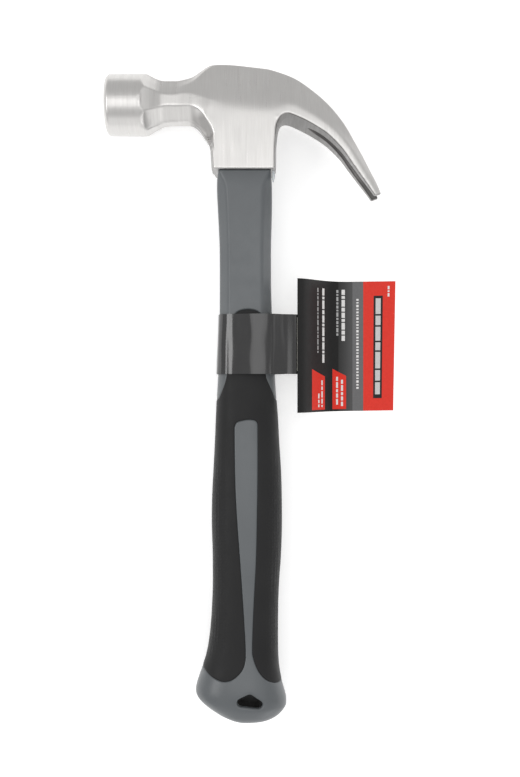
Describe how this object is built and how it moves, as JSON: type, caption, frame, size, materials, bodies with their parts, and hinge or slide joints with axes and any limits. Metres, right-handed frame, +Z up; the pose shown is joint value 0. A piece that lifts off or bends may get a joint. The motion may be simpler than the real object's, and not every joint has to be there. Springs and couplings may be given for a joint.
{
  "type": "claw hammer",
  "caption": "Curved-claw hammer with a forged steel head, a moulded handle with a soft two-tone grip and a hang hole, and a hang card on a plastic strap round the neck.",
  "frame": {"origin": "centre of the whole object's footprint on the surface it lies on (bounding-box bottom centre)", "axes": "+Z up, away from the surface the hammer lies on; +Y along the handle towards the head; the striking face points to -X and the claws to +X"},
  "size_m": [0.1544, 0.3418, 0.032],
  "materials": {
    "satin_steel": "forged, ground and satin polished; poll lathe turned",
    "epoxy": "cast, slightly cloudy",
    "glass_fibre": "pultruded",
    "grey_plastic": "fine moulded texture",
    "soft_black": "soft, finely textured",
    "strap_film": "glossy film",
    "adhesive": "tacky layer",
    "printed_card": "coated, printed red, grey and black"
  },
  "bodies": {
    "hammer": {"head": "satin_steel", "eye_resin": "epoxy", "resin_bead": "epoxy", "core_rod": "glass_fibre", "handle_jacket": "grey_plastic", "grip": "soft_black"},
    "strap": {"strap_loop": "strap_film"},
    "card": {"strap_tail": "strap_film", "card_adhesive": "adhesive", "hang_card": "printed_card"}
  },
  "joints": [
    {"name": "strap_slide", "type": "slide", "parent": "hammer", "child": "strap", "axis": [0, 1, 0], "range_m": [0, 0.038]},
    {"name": "card_swing", "type": "hinge", "parent": "strap", "child": "card", "pos_m": [0.01735, 0.026, 0.025], "axis": [0, -1, 0], "range_deg": [0, 100]}
  ]
}
